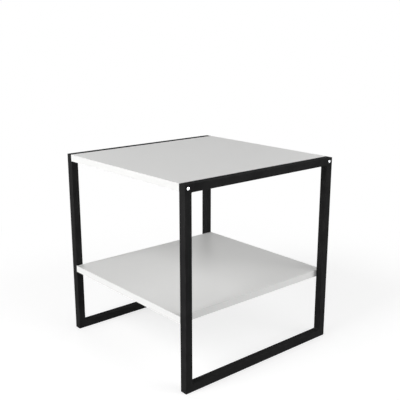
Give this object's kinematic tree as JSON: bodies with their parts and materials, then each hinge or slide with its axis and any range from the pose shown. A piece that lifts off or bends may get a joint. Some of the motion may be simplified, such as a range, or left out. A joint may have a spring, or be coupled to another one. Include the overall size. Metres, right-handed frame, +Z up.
{
  "type": "side table",
  "caption": "Square side table with two black square-tube loop frames, a white table top flush between them and a white lower shelf.",
  "frame": {"origin": "on the floor, at the centre of the table's footprint", "axes": "+Z up, +X to the right across the two frames, +Y from the front to the back along the rails"},
  "size_m": [0.5, 0.5, 0.506],
  "materials": {
    "frame_paint": "matt black powder coat on steel tube",
    "board": "white melamine facing on chipboard",
    "edge_band": "smooth white plastic edge band",
    "zinc_screw": "bright zinc plate"
  },
  "bodies": {
    "root": {"left_front_leg": "frame_paint", "left_back_leg": "frame_paint", "left_top_rail": "frame_paint", "left_bottom_rail": "frame_paint", "left_welds": "frame_paint", "left_front_tab": "frame_paint", "left_back_tab": "frame_paint", "right_front_leg": "frame_paint", "right_back_leg": "frame_paint", "right_top_rail": "frame_paint", "right_bottom_rail": "frame_paint", "right_welds": "frame_paint", "right_front_tab": "frame_paint", "right_back_tab": "frame_paint", "table_top": "board", "top_front_band": "edge_band", "top_back_band": "edge_band", "top_left_band": "edge_band", "top_right_band": "edge_band", "shelf": "board", "shelf_front_band": "edge_band", "shelf_back_band": "edge_band", "shelf_left_band": "edge_band", "shelf_right_band": "edge_band", "top_screws": "zinc_screw", "shelf_screws": "zinc_screw"}
  },
  "joints": []
}
